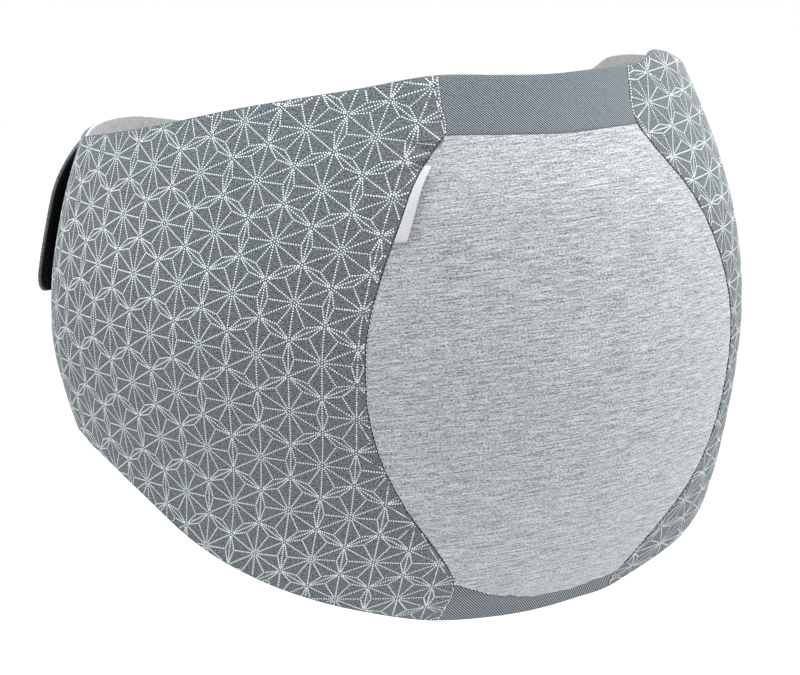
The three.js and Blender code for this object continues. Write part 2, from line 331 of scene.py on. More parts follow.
def hem_edge(angle):
    away = np.clip(np.abs(wrapped(angle) - HEM_TURN) / HEM_SPREAD, 0, 1)
    wave = np.sin(2 * math.pi * angle / HEM_WAVE_TURN) + 0.5 * np.sin(1.1 + angle * 1.6)
    wave = HEM_WAVE * wave * np.clip(1 - (angle / HEM_WAVE_END) ** 6, 0, 1)
    return bottom_edge(angle) + mix(HEM_NARROW, HEM_WIDE, away**2) + wave


UPPER = (top_edge, band_edge)
BELLY = (band_edge, hem_edge)
LOWER = (hem_edge, bottom_edge)


def height_in(zone, angle, share):
    return mix(zone[0](angle), zone[1](angle), share)


def seam_angle(turned, height):
    """Angle of a side panel's front edge. Turned is 1 for the wearer's left, -1 for the right."""
    column = SEAM_LEFT if turned > 0 else SEAM_RIGHT
    return turned * BELLY_SPREAD * read_table(SEAM_TABLE, column, height / FRONT_HEIGHT)


def seam_angle_in(turned, zone, share):
    """Angle at which the line at a share of a zone's height meets the side panel."""
    angle = np.full(np.shape(share), turned * BELLY_SPREAD / 2)
    for _ in range(25):
        angle = mix(angle, seam_angle(turned, height_in(zone, angle, share)), 0.7)
    return angle


def wave_rise(turned, from_front):
    """How far a wave lifts the upper edge, at degrees from the front on either side."""
    start, end = LEFT_WAVE if turned > 0 else RIGHT_WAVE
    height = LEFT_WAVE_HEIGHT if turned > 0 else RIGHT_WAVE_HEIGHT
    return height * np.sin(np.clip((from_front - start) / (end - start), 0, 1) * math.pi) ** 2


# The flattened cloth

GRID_RISE = 3.0
GRID_ANGLES = np.arange(-210.0, 262.0, 1.0)
GRID_HEIGHTS = np.arange(-150.0, 121.0, GRID_RISE)
USUAL_DEGREE = 2.8  # about how long a degree of the loop is


def measure_loop():
    """Lengths along the loop from angle 0 and up it from height 0, at each grid place."""
    points = loop_point(GRID_ANGLES[:, None], GRID_HEIGHTS[None, :])
    along = np.zeros(points.shape[:2])
    along[1:] = np.cumsum(np.linalg.norm(np.diff(points, axis=0), axis=2), axis=0)
    along -= along[GRID_ANGLES == 0.0]
    up = np.zeros(points.shape[:2])
    up[:, 1:] = np.cumsum(np.linalg.norm(np.diff(points, axis=1), axis=2), axis=1)
    up -= up[:, GRID_HEIGHTS == 0.0]
    return along, up


ALONG_GRID, UP_GRID = measure_loop()


def read_grid(grid, angle, height):
    """A measured length at any place, between those of the grid."""
    angle, height = np.broadcast_arrays(np.asarray(angle, float), np.asarray(height, float))
    across = np.clip(angle - GRID_ANGLES[0], 0, len(GRID_ANGLES) - 1.001)
    rise = np.clip((height - GRID_HEIGHTS[0]) / GRID_RISE, 0, len(GRID_HEIGHTS) - 1.001)
    i, j = across.astype(int), rise.astype(int)
    s, t = across - i, rise - j
    low = mix(grid[i, j], grid[i + 1, j], s)
    return mix(low, mix(grid[i, j + 1], grid[i + 1, j + 1], s), t)


def cloth_place(angle, height, start):
    """Place on the flattened cloth: length along the loop from start, and up the cloth."""
    along = read_grid(ALONG_GRID, angle, height) - read_grid(ALONG_GRID, start, height)
    return along, read_grid(UP_GRID, angle, height)


def place_on_loop(along, up, start):
    """Angle and height of places on the flattened cloth."""
    angle = start + along / USUAL_DEGREE
    height = np.array(up, float)
    for _ in range(40):
        found_along, found_up = cloth_place(angle, height, start)
        angle = np.clip(angle + (along - found_along) / USUAL_DEGREE, -200, 280)
        height = height + (up - found_up) * 0.8
    return angle, height


# Making pieces


def add_piece(name, points, faces, material):
    mesh = bpy.data.meshes.new(name)
    mesh.from_pydata((np.asarray(points) * MM).tolist(), [], np.asarray(faces).tolist())
    mesh.polygons.foreach_set("use_smooth", [True] * len(mesh.polygons))
    mesh.materials.append(material)
    piece = bpy.data.objects.new(name, mesh)
    bpy.context.scene.collection.objects.link(piece)
    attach(piece, "root")
    return piece


def face_outwards(mesh):
    shape = bmesh.new()
    shape.from_mesh(mesh)
    bmesh.ops.recalc_face_normals(shape, faces=shape.faces)
    shape.to_mesh(mesh)
    shape.free()


def add_cloth_map(mesh, along, up):
    """Keeps each vertex's place on the flattened cloth, for its weave."""
    places = np.stack([along, up], axis=-1)
    layer = mesh.uv_layers.new(name="cloth")
    corners = np.zeros(len(mesh.loops), int)
    mesh.loops.foreach_get("vertex_index", corners)
    layer.uv.foreach_set("vector", places[corners].astype(np.float32).ravel())


def closed_sheet(name, node, material, outer, inner, along, up):
    """A closed sheet from two grids of points that meet along the rim."""
    rows, columns = outer.shape[:2]
    number = np.arange(rows * columns).reshape(rows, columns)
    under = number.copy()
    within = (rows - 2) * (columns - 2)
    under[1:-1, 1:-1] = rows * columns + np.arange(within).reshape(rows - 2, columns - 2)

    def quads(grid, flip):
        corners = [grid[:-1, :-1], grid[1:, :-1], grid[1:, 1:], grid[:-1, 1:]]
        if flip:
            corners.reverse()
        return np.stack([corner.ravel() for corner in corners], axis=1)

    points = np.concatenate([outer.reshape(-1, 3), inner[1:-1, 1:-1].reshape(-1, 3)])
    faces = np.concatenate([quads(number, False), quads(under, True)])
    piece = add_piece(name, points, faces, material)
    face_outwards(piece.data)
    inside = np.s_[1:-1, 1:-1]
    add_cloth_map(
        piece.data,
        np.concatenate([along.ravel(), along[inside].ravel()]),
        np.concatenate([up.ravel(), up[inside].ravel()]),
    )
    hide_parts(node)
    return piece


RIM_STEPS = (0.0, 0.06, 0.25, 0.55, 1.0)  # shares of RIM_REACH
RIM_REACH = 0.5  # how far from its edge a cloth starts to round off
RIM_PLACE = 0.25  # where the rim meets, as a share of the wall from its outer face


def rimmed_lines(count):
    """Shares from 0 to 1, with insets in millimetres from either end for the rounded rims."""
    rim = np.array(RIM_STEPS) * RIM_REACH
    middle = np.arange(1, count) / count
    share = np.concatenate([np.zeros(len(rim)), middle, np.ones(len(rim))])
    from_start = np.concatenate([rim, np.zeros(count - 1 + len(rim))])
    from_end = np.concatenate([np.zeros(len(rim) + count - 1), rim[::-1]])
    return share, from_start, from_end, rim_thickness(len(share))


def rim_thickness(count):
    """Share of the wall on each of a number of lines that end in two rounded rims."""
    thickness = np.ones(count)
    arc = np.sqrt(1 - (1 - np.array(RIM_STEPS)) ** 2)
    thickness[: len(arc)] = arc
    thickness[-len(arc) :] = arc[::-1]
    return thickness


def sheet_faces(angle, height, outside, wall, row_thickness, column_thickness):
    """Outer and inner points of a sheet whose outer face lies at an offset from the loop."""
    full = row_thickness[:, None] * column_thickness[None, :]
    outer = offset_point(angle, height, outside - wall * RIM_PLACE * (1 - full))
    inner = offset_point(angle, height, outside - wall * (1 - (1 - RIM_PLACE) * (1 - full)))
    return outer, inner


# Cloths


def pucker(turned, angle, height):
    """Small puckers in the printed cloth along the belly seam and at the label."""
    away = np.abs(angle - seam_angle(turned, height)) * 2.9
    near = np.exp(-away / 5.5)
    ripple = np.sin(height * 0.62 + 1.4 * np.sin(height * 0.11)) + 0.5 * np.sin(height * 1.31)
    seam = 0.16 * near * ripple
    if turned > 0:
        return seam
    for start, slope, reach, depth in CREASES:
        across = height - start - slope * away
        pinch = np.exp(-((across / 1.7) ** 2)) - 0.5 * np.exp(-(((across - 3.2) / 2.2) ** 2))
        seam = seam - depth * pinch * np.exp(-((away / reach) ** 2))
    return seam


def sway(angle, height):
    """The slow unevenness of stretched cloth."""
    return 0.35 * np.sin(angle * 0.083 + height * 0.031) * np.sin(height * 0.047 - angle * 0.021)


def side_rows(turned):
    """Zone, share and starting angle of each row of a side, with close rows at its two rims."""
    rim = np.array(RIM_STEPS[1:]) * RIM_REACH
    rows = [(UPPER, 0.0)]
    rows += [(UPPER, inset / BAND_WIDTH) for inset in rim]
    rows += [(UPPER, share) for share in np.linspace(0, 0.6, 8)[1:]]
    rows += [(UPPER, share) for share in np.linspace(0.6, 1, 13)[1:]]
    rows += [(BELLY, share) for share in np.linspace(0, CREASED_SHARE, 18)[1:]]
    rows += [(BELLY, share) for share in np.linspace(CREASED_SHARE, 1, 84)[1:]]
    rows += [(LOWER, share) for share in np.linspace(0, 1, 8)[1:-1]]
    rows += [(LOWER, 1 - inset / HEM_WIDE) for inset in rim[::-1]]
    rows += [(LOWER, 1.0)]
    return [(zone, share, float(seam_angle_in(turned, zone, share))) for zone, share in rows]


def side_sheet(name, node, material, turned, end_angle, layer, count):
    """One layer of a side, from the belly seam round to the back."""
    rows = side_rows(turned)
    inset, outside, wall = layer["inset"], layer["outside"], layer["wall"]
    starts = np.array([start for zone, share, start in rows])
    start_heights = np.array([float(height_in(zone, start, share)) for zone, share, start in rows])
    degree = degree_length(starts, start_heights)[:, None]
    column, from_start, from_end, column_thickness = rimmed_lines(count)
    column = column**COLUMN_CROWD
    end_degree = degree_length(turned * end_angle, 0.0)
    first = starts[:, None] + turned * (SEAM_GAP / 2 + inset) / degree
    last = turned * (end_angle - inset / end_degree)
    angle = mix(first, last, column) + turned * (from_start / degree - from_end / end_degree)
    height = np.stack([height_in(row[0], angle[i], row[1]) for i, row in enumerate(rows)])
    low, high = bottom_edge(angle) + inset, top_edge(angle) - inset
    share = (height - bottom_edge(angle)) / (top_edge(angle) - bottom_edge(angle))
    rise = wave_rise(turned, np.abs(angle))
    rise = rise + layer["shows"] * ramp(rise, (0, 5))
    height = mix(low, high, share) + rise * share**2
    offset = outside + sway(angle, height)
    if layer["puckered"]:
        offset = offset + pucker(turned, angle, height)
    outer, inner = sheet_faces(
        angle, height, offset, wall, rim_thickness(len(rows)), column_thickness
    )
    along, up = cloth_place(angle, height, turned * PRINT_START)
    return closed_sheet(name, node, material, outer, inner, along, up)


def front_sheet(name, node, material, zone, gap_above, gap_below, wall, rows, columns):
    """A cloth between the two side panels: the belly panel or one of the elastic bands."""
    share, from_top, from_bottom, row_thickness = rimmed_lines(rows)
    column, from_start, from_end, column_thickness = rimmed_lines(columns)
    start, end = seam_angle_in(-1, zone, share), seam_angle_in(1, zone, share)
    start_degree = degree_length(start, height_in(zone, start, share))
    end_degree = degree_length(end, height_in(zone, end, share))
    start = (start + SEAM_GAP / 2 / start_degree)[:, None]
    end = (end - SEAM_GAP / 2 / end_degree)[:, None]
    angle = mix(start, end, column) + from_start / start_degree[:, None]
    angle = angle - from_end / end_degree[:, None]
    drawn = from_bottom[:, None] - from_top[:, None]
    top = zone[0](angle) - gap_above + drawn
    bottom = zone[1](angle) + gap_below + drawn
    height = mix(top, bottom, share[:, None])
    offset = -(PANEL_WALL - wall) / 2 + sway(angle, height)
    if zone is BELLY:
        offset = offset + jersey_relief(angle, height, np.minimum(angle - start, end - angle))
    outer, inner = sheet_faces(angle, height, offset, wall, row_thickness, column_thickness)
    along, up = cloth_place(angle, height, 0)
    return closed_sheet(name, node, material, outer, inner, along, up)


def jersey_relief(angle, height, from_side):
    """Small puckers of the jersey at its seams, and its fullness above the lower elastic."""
    from_hem = height - hem_edge(angle)
    from_band = band_edge(angle) - height
    side = 0.1 * np.exp(-from_side * 0.7) * np.sin(height * 0.7 + np.sign(angle))
    hem = np.exp(-from_hem / 7) * (0.45 + 0.3 * np.sin(angle * 1.9 + 0.6))
    hem = hem * (1 - np.exp(-from_hem / 1.2))
    band = 0.12 * np.exp(-from_band / 3) * np.sin(angle * 2.6)
    return side + hem + band


def flap_offset(angle, share):
    """Inner face of the flap at a share of its height from its upper edge."""
    over = 2 * LAYER_GAP + HOOK_WALL
    lift = FLAP_LIFT * mix(0.5, 1, ramp(share, (0, 0.4)))
    return mix(-FLAP_WALL, over, ramp(angle, FLAP_STEP)) + lift * ramp(angle, FLAP_CURL)


def flap_bottom(angle):
    narrow = top_edge(angle) - FLAP_HEIGHT
    return mix(bottom_edge(angle), narrow, ramp(angle, FLAP_TAPER))


def corner_draw(below, margin):
    """How far the flap's rounded end draws back at a distance below its upper edge."""
    near_top = np.clip(1 - (below - margin) / (FLAP_TOP_CORNER - margin), 0, 1)
    near_bottom = np.clip(1 - (FLAP_HEIGHT - below - margin) / (FLAP_CORNER - margin), 0, 1)
    return (
        margin
        + (FLAP_TOP_DRAW - margin) * (1 - np.sqrt(1 - near_top**2))
        + (FLAP_CORNER - margin) * (1 - np.sqrt(1 - near_bottom**2))
    )


def rounded_rows(margin):
    """Distances below the flap's upper edge, close together where its end is round."""
    steps = np.array(RIM_STEPS) * RIM_REACH
    top = margin + np.concatenate([steps, FLAP_TOP_CORNER * np.linspace(0.05, 1, 13) ** 1.6])
    low = margin + np.concatenate([steps, FLAP_CORNER * np.linspace(0.14, 1, 8) ** 1.3])
    middle = np.linspace(top[-1], FLAP_HEIGHT - low[-1], 15)[1:-1]
    return np.concatenate([top, middle, FLAP_HEIGHT - low[::-1]])


FLAP_DEGREE = float(degree_length(FLAP_TIP, top_edge(FLAP_TIP) - FLAP_HEIGHT / 2))


def flap_sheet(name, node, material, start, margin, wall, drop, count):
    """The flap, or the hook tape at a margin inside it and a drop below its outer face."""
    rows = rounded_rows(margin)
    column, from_start, from_end, column_thickness = rimmed_lines(count)
    tip = (FLAP_TIP - corner_draw(rows, margin) / FLAP_DEGREE)[:, None]
    angle = mix(start, tip, column) + (from_start - from_end) / FLAP_DEGREE
    share = rows[:, None] / FLAP_HEIGHT
    height = mix(top_edge(angle), flap_bottom(angle), share)
    offset = flap_offset(angle, share) + FLAP_WALL - drop + sway(angle, height)
    outer, inner = sheet_faces(
        angle, height, offset, wall, rim_thickness(len(rows)), column_thickness
    )
    along, up = cloth_place(angle, height, PRINT_START)
    return closed_sheet(name, node, material, outer, inner, along, up)


def seam_label(material):
    """The ribbon tab, whose free edge curls a little off the jersey."""
    rows, columns = LABEL_LINES
    row = np.linspace(0, 1, rows)[:, None]
    column = np.linspace(0, 1, columns)[None, :]
    height = LABEL_TOP - row * LABEL_LENGTH - 0.5 * column
    edge = seam_angle(-1, height)
    width = mix(LABEL_WIDTH_TOP, LABEL_WIDTH_BOTTOM, row)
    angle = edge + (0.15 + column * width) / degree_length(edge, height)
    base = -(PANEL_WALL - JERSEY_WALL) / 2 + LAYER_GAP
    curl = LABEL_LIFT * column**1.4 + 0.35 * np.sin(row * 5) * column
    offset = base + curl + LABEL_WALL + sway(angle, height)
    outer, inner = sheet_faces(
        angle, height, offset, LABEL_WALL, rim_thickness(rows), rim_thickness(columns)
    )
    along, up = cloth_place(angle, height, -PRINT_START)
    return closed_sheet("label_tab", "seam_label", material, outer, inner, along, up)


# Print


def dotted_line(start, end, from_start, from_end):
    """Dots along a line between two places, kept clear of its ends."""
    start, end = np.array(start), np.array(end)
    length = np.linalg.norm(end - start)
    free = length - from_start - from_end
    if free <= 0:
        return np.zeros((0, 2))
    count = max(1, round(free / DOT_PITCH))
    at = from_start + free * np.arange(count + 1) / count
    return start + (end - start) * (at / length)[:, None]


def star_dots(lattice):
    """Dots of one star of the print, about its middle."""
    along, down = np.array(lattice["along"]), np.array(lattice["down"])
    sides = [along, along - down, -down, -along, down - along, down]
    corners = [(sides[k] + sides[(k + 1) % 6]) / 3 for k in range(6)]
    points = [side * EDGE_POINT / 2 for side in sides]
    half = DOT_PITCH / 2  # lines beside each other have their dots staggered
    dots = []
    for k in range(6):
        before, after = corners[k - 1], corners[k]
        dots.append(dotted_line((0, 0), after, STAR_HEART, CORNER_HEART))
        dots.append(dotted_line((0, 0), points[k], STAR_HEART + half, 0))
        dots.append(dotted_line(points[k], before, DOT_PITCH, CORNER_HEART + half))
        dots.append(dotted_line(points[k], after, DOT_PITCH, CORNER_HEART + half))
        if k < 3:
            dots.append(dotted_line(before, after, CORNER_HEART, CORNER_HEART))
    # Each corner is shared by three stars, so a star owns two of its six.
    dots.append(np.array([(0, 0), corners[0], corners[1]]))
    return np.concatenate(dots)


def print_places(lattice, reach):
    """Dots of all stars within reach of the lattice's first star."""
    basis = np.array([lattice["along"], lattice["down"]])
    star = star_dots(lattice) @ np.linalg.inv(basis)
    steps = range(-reach, reach + 1)
    stars = [star + (i, j) for i in steps for j in steps]
    at = np.concatenate(stars)
    bend = np.array([lattice["along_bend"], lattice["down_bend"]])
    near = np.clip(at, -BENT_STARS, BENT_STARS)
    return np.array(lattice["star"]) + at @ basis + near * (2 * at - near) @ bend


def add_dots(name, angle, height, offset, material):
    """Low closed dots on a cloth, each a shallow five-sided cone with its foot in the cloth."""
    normal = outward(angle, height)
    centre = loop_point(angle, height) + normal * offset[:, None]
    side = loop_point(angle + 0.5, height) - loop_point(angle - 0.5, height)
    side /= np.linalg.norm(side, axis=1, keepdims=True)
    up = np.cross(normal, side)
    turns = np.radians(np.arange(DOT_SIDES) * 360 / DOT_SIDES + 18)
    ring = [
        centre + normal * DOT_FOOT + DOT_RADIUS * (side * math.cos(t) + up * math.sin(t))
        for t in turns
    ]
    points = np.stack([*ring, centre + normal * DOT_TOP], axis=1).reshape(-1, 3)
    sides = [(k, (k + 1) % DOT_SIDES, DOT_SIDES) for k in range(DOT_SIDES)]
    foot = [(0, k + 1, k) for k in range(1, DOT_SIDES - 1)]
    starts = (DOT_SIDES + 1) * np.arange(len(angle))[:, None, None]
    faces = (np.array(sides + foot)[None] + starts).reshape(-1, 3)
    return add_piece(name, points, faces, material)


def side_print(name, lattice, turned, end_angle, material):
    places = print_places(lattice, PRINT_REACH)
    angle, height = place_on_loop(places[:, 0], places[:, 1], turned * PRINT_START)
    away = turned * angle
    top = top_edge(angle) + wave_rise(turned, away) - PRINT_MARGIN
    bottom = bottom_edge(angle) + PRINT_MARGIN
    inner = turned * seam_angle(turned, height) + PRINT_MARGIN / USUAL_DEGREE
    kept = (height < top) & (height > bottom) & (away > inner) & (away < end_angle - 0.4)
    angle, height = angle[kept], height[kept]
    offset = sway(angle, height) + pucker(turned, angle, height)
    return add_dots(name, angle, height, offset, material)


def flap_print(material):
    places = print_places(LEFT_LATTICE, FLAP_PRINT_REACH)
    angle, height = place_on_loop(places[:, 0], places[:, 1], PRINT_START)
    top, bottom = top_edge(angle), flap_bottom(angle)
    share = (top - height) / (top - bottom)
    below = np.clip(share, 0, 1) * FLAP_HEIGHT
    tip = FLAP_TIP - (PRINT_MARGIN + corner_draw(below, 0)) / FLAP_DEGREE
    margin = PRINT_MARGIN / FLAP_HEIGHT
    kept = (share > margin) & (share < 1 - margin) & (angle < tip)
    kept &= angle > LEFT_PANEL_END + 0.5
    angle, height, share = angle[kept], height[kept], share[kept]
    offset = flap_offset(angle, share) + FLAP_WALL + sway(angle, height)
    return add_dots("print_dots_flap", angle, height, offset, material)


# Stitches


def add_stitches(name, path, lift, kind, material):
    """Short stitches along a path of outer points, each a closed spindle lying on the cloth."""
    path, lift = np.asarray(path), np.asarray(lift)
    steps = np.linalg.norm(np.diff(path, axis=0), axis=1)
    at = np.concatenate([[0], np.cumsum(steps)])
    middles = np.arange(kind["pitch"] / 2, at[-1] - kind["pitch"] / 2, kind["pitch"])
    middles = middles[middles > 0]

    def read(values, place):
        return np.stack([np.interp(place, at, values[:, axis]) for axis in range(3)], axis=1)

    half = kind["length"] / 2
    ends = [read(path, middles - half), read(path, middles), read(path, middles + half)]
    normal = read(lift, middles)
    normal /= np.linalg.norm(normal, axis=1, keepdims=True)
    along = ends[2] - ends[0]
    along /= np.linalg.norm(along, axis=1, keepdims=True)
    across = np.cross(normal, along)
    radius = kind["radius"]
    turns = np.radians(np.arange(STITCH_SIDES) * 360 / STITCH_SIDES)
    rings = []
    for share, width in ((-0.8, 0.7), (0.0, 1.0), (0.8, 0.7)):
        centre = ends[1] + along * half * share + normal * radius * 0.35
        rings += [
            centre + width * radius * (across * math.cos(t) + normal * math.sin(t)) for t in turns
        ]
    tips = [ends[0] - normal * radius * 0.5, ends[2] - normal * radius * 0.5]
    points = np.stack([*rings, *tips], axis=1).reshape(-1, 3)
    second, third = STITCH_SIDES, 2 * STITCH_SIDES
    first_tip = 3 * STITCH_SIDES
    pattern = []
    for k in range(STITCH_SIDES):
        n = (k + 1) % STITCH_SIDES
        pattern += [(first_tip, n, k), (first_tip + 1, third + k, third + n)]
        for ring, after in ((0, second), (second, third)):
            pattern += [(ring + k, ring + n, after + n), (ring + k, after + n, after + k)]
    faces = np.array(pattern)[None] + (first_tip + 2) * np.arange(len(middles))[:, None, None]
    piece = add_piece(name, points, faces.reshape(-1, 3), material)
    face_outwards(piece.data)
    return piece


def seam_path(turned, top, bottom, inset, weave):
    """Outer points of the printed cloth just beside the belly seam, and their normals."""
    height = np.linspace(top, bottom, 900)
    angle = seam_angle(turned, height)
    inset = inset + weave * np.sin(height * 2.1)
    angle = angle + turned * inset / degree_length(angle, height)
    offset = sway(angle, height) + pucker(turned, angle, height)
    round_off = 1 - np.sqrt(1 - np.clip(1 - inset / RIM_REACH, 0, 1) ** 2)
    path = offset_point(angle, height, offset - PANEL_WALL * RIM_PLACE * round_off)
    return path, outward(angle, height)


def belly_seam_stitches(name, turned, material):
    upper = seam_angle_in(turned, UPPER, 1.0)
    lower = seam_angle_in(turned, LOWER, 0.0)
    top, bottom = float(band_edge(upper)) - 0.5, float(hem_edge(lower)) + 0.5
    path, lift = seam_path(turned, top, bottom, SEAM_STITCH["inset"], 0.0)
    return add_stitches(name, path, lift, SEAM_STITCH, material)


def band_seam_stitches(name, turned, zone, material):
    first, last = seam_angle_in(turned, zone, 0.0), seam_angle_in(turned, zone, 1.0)
    top, bottom = float(zone[0](first)) - 0.6, float(zone[1](last)) + 0.6
    path, lift = seam_path(turned, top, bottom, BAND_STITCH["inset"], BAND_STITCH_SWAY)
    return add_stitches(name, path, lift, BAND_STITCH, material)


def flap_stitches(material):
    """The seam that holds the hook tape, round the flap's end."""
    inset = FLAP_STITCH["inset"]
    start = HOOK_START + 1.0
    below = np.linspace(inset, FLAP_HEIGHT - inset, 400)
    tip = FLAP_TIP - corner_draw(below, inset) / FLAP_DEGREE
    upper = np.linspace(start, tip[0], 160)
    lower = np.linspace(tip[-1], start, 160)
    angle = np.concatenate([upper, tip, lower, np.full(120, start)])
    below = np.concatenate([
        np.full(160, inset),
        below,
        np.full(160, FLAP_HEIGHT - inset),
        np.linspace(FLAP_HEIGHT - inset, inset, 120),
    ])
    share = below / FLAP_HEIGHT
    height = mix(top_edge(angle), flap_bottom(angle), share)
    offset = flap_offset(angle, share) + FLAP_WALL + sway(angle, height)
    path = offset_point(angle, height, offset)
    lift = outward(angle, height)
    return add_stitches("stitches_flap", path, lift, FLAP_STITCH, material)


# Materials


class Finish:
    """A cloth material drawn from places on the flattened cloth, in millimetres."""

    def __init__(self, name, roughness, sheen):
        self.material = bpy.data.materials.new(name)
        self.material.use_nodes = True
        self.tree = self.material.node_tree
        self.shader = self.tree.nodes["Principled BSDF"]
        self.shader.inputs["Roughness"].default_value = roughness
        self.shader.inputs["Specular IOR Level"].default_value = 0.25
        self.shader.inputs["Sheen Weight"].default_value = sheen
        self.shader.inputs["Sheen Roughness"].default_value = 0.5
        self.place = self.node("ShaderNodeUVMap", uv_map="cloth").outputs["UV"]

    def node(self, kind, inputs=(), **settings):
        node = self.tree.nodes.new(kind)
        for name, value in settings.items():
            setattr(node, name, value)
        for socket, value in dict(inputs).items():
            if isinstance(value, bpy.types.NodeSocket):
                self.tree.links.new(value, node.inputs[socket])
            else:
                node.inputs[socket].default_value = value
        return node

    def math(self, operation, first, second=0.0):
        return self.node("ShaderNodeMath", {0: first, 1: second}, operation=operation).outputs[0]

    def noise(self, across, up, detail, seed):
        """Noise whose patches are so many millimetres across and up the cloth."""
        scaled = self.node(
            "ShaderNodeVectorMath",
            {0: self.place, 1: (1 / across, 1 / up, 0)},
            operation="MULTIPLY",
        )
        moved = self.node(
            "ShaderNodeVectorMath", {0: scaled.outputs[0], 1: (seed, seed * 0.7, seed)}
        )
        return self.node(
            "ShaderNodeTexNoise",
            {"Vector": moved.outputs[0], "Scale": 1.0, "Detail": detail, "Roughness": 0.6},
        ).outputs["Fac"]

    def ribs(self, direction, pitch):
        """Waves from -1 to 1 that follow one another in a direction."""
        x, y = direction
        turn = 2 * math.pi / pitch / math.hypot(x, y)
        phase = self.node(
            "ShaderNodeVectorMath",
            {0: self.place, 1: (x * turn, y * turn, 0)},
            operation="DOT_PRODUCT",
        )
        return self.math("SINE", phase.outputs["Value"])

    def spread(self, value, low, high):
        """A value read from low to high, as 0 to 1."""
        return self.node(
            "ShaderNodeMapRange", {"Value": value, "From Min": low, "From Max": high}
        ).outputs[0]

    def blend(self, share, first, second):
        """Blends two colours, each a colour or a socket."""
        node = self.node("ShaderNodeMix", data_type="RGBA")
        for socket, value in ((0, share), (6, first), (7, second)):
            if isinstance(value, bpy.types.NodeSocket):
                self.tree.links.new(value, node.inputs[socket])
            else:
                node.inputs[socket].default_value = value
        return node.outputs[2]

    def colour(self, value):
        if isinstance(value, bpy.types.NodeSocket):
            self.tree.links.new(value, self.shader.inputs["Base Color"])
        else:
            self.shader.inputs["Base Color"].default_value = value

    def relief(self, height, depth):
        """Bump from a height of 0 to 1, so many millimetres deep."""
        bump = self.node("ShaderNodeBump", {"Height": height, "Distance": depth * MM})
        self.tree.links.new(bump.outputs["Normal"], self.shader.inputs["Normal"])


def tone(red, green, blue):
    """A colour from its 0 to 255 values on screen."""
    channels = [(c / 255 + 0.055) / 1.055 if c > 10 else c / 255 / 12.92 for c in (red, green, blue)]
    return (*[c**2.4 if c > 0.04 else c for c in channels], 1.0)


def printed_cloth():
    finish = Finish("printed_cloth", 0.92, 0.05)
    grain = finish.noise(0.85, 0.75, 2, 3.0)
    cloud = finish.noise(26, 26, 2, 11.0)
    ribs = finish.ribs((1.0, 0.0), 0.62)
    rows = finish.ribs((0.0, 1.0), 0.55)
    weave = finish.math("MULTIPLY", ribs, rows)
    shade = finish.math("ADD", finish.math("MULTIPLY", weave, 0.06), grain)
    body = finish.blend(finish.spread(shade, 0.38, 0.62), tone(44, 49, 52), tone(122, 129, 133))
    worn = finish.blend(finish.spread(cloud, 0.3, 0.7), tone(87, 93, 97), tone(101, 107, 110))
    finish.colour(finish.blend(0.25, body, worn))
    finish.relief(finish.spread(shade, 0.1, 0.9), 0.12)
    return finish.material


def print_ink():
    finish = Finish("print_ink", 0.8, 0.0)
    fade = finish.noise(3.0, 3.0, 3, 7.0)
    finish.colour(finish.blend(fade, tone(204, 213, 215), tone(234, 242, 243)))
    return finish.material


def heather_jersey():
    finish = Finish("heather_jersey", 0.95, 0.1)
    fleck = finish.noise(0.95, 0.62, 2, 9.0)
    short_streak = finish.noise(5, 0.65, 2, 5.0)
    long_streak = finish.noise(17, 0.85, 2, 2.0)
    streak = finish.math("ADD", short_streak, long_streak)
    shade = finish.math("ADD", finish.math("MULTIPLY", streak, 0.55), fleck)
    body = finish.blend(
        finish.spread(shade, 0.84, 1.26), tone(75, 79, 82), tone(207, 210, 212)
    )
    cloud = finish.noise(30, 14, 2, 4.0)
    soft = finish.blend(finish.spread(cloud, 0.3, 0.7), tone(144, 148, 150), tone(161, 164, 165))
    finish.colour(finish.blend(0.25, body, soft))
    finish.relief(finish.spread(streak, 0.6, 1.4), 0.1)
    return finish.material


def ribbed_elastic():
    finish = Finish("ribbed_elastic", 0.75, 0.05)
    ribs = finish.ribs((1.0, 0.815), 0.87)
    grain = finish.noise(0.7, 0.7, 1, 6.0)
    shade = finish.math("ADD", ribs, finish.math("MULTIPLY", grain, 1.2))
    finish.colour(
        finish.blend(finish.spread(shade, 0.1, 1.1), tone(9, 13, 17), tone(138, 147, 153))
    )
    finish.relief(finish.spread(shade, -0.4, 1.6), 0.16)
    return finish.material


def knit_lining():
    finish = Finish("knit_lining", 0.95, 0.2)
    wales = finish.ribs((1.0, 0.0), 1.1)
    fleck = finish.noise(0.6, 3.0, 2, 8.0)
    shade = finish.math("ADD", finish.math("MULTIPLY", wales, 0.16), fleck)
    finish.colour(
        finish.blend(finish.spread(shade, 0.2, 0.8), tone(142, 143, 143), tone(203, 204, 203))
    )
    finish.relief(finish.spread(shade, 0.1, 0.9), 0.12)
    return finish.material


def hook_plastic():
    finish = Finish("hook_plastic", 0.95, 0.0)
    finish.shader.inputs["Specular IOR Level"].default_value = 0.1
    across = finish.ribs((1.0, 0.0), 1.5)
    rows = finish.ribs((0.0, 1.0), 1.2)
    bumps = finish.math("MULTIPLY", across, rows)
    finish.colour(finish.blend(finish.spread(bumps, -0.6, 1), tone(3, 3, 4), tone(14, 15, 18)))
    finish.relief(finish.spread(bumps, -1.0, 1.0), 0.3)
    return finish.material


def ribbon():
    finish = Finish("ribbon", 0.6, 0.1)
    rows = finish.ribs((0.15, 1.0), 0.6)
    grain = finish.noise(1.2, 0.5, 2, 12.0)
    shade = finish.math("ADD", finish.math("MULTIPLY", rows, 0.15), grain)
    finish.colour(
        finish.blend(finish.spread(shade, 0.2, 0.8), tone(168, 169, 174), tone(196, 197, 201))
    )
    finish.relief(finish.spread(shade, 0.1, 0.9), 0.05)
    return finish.material


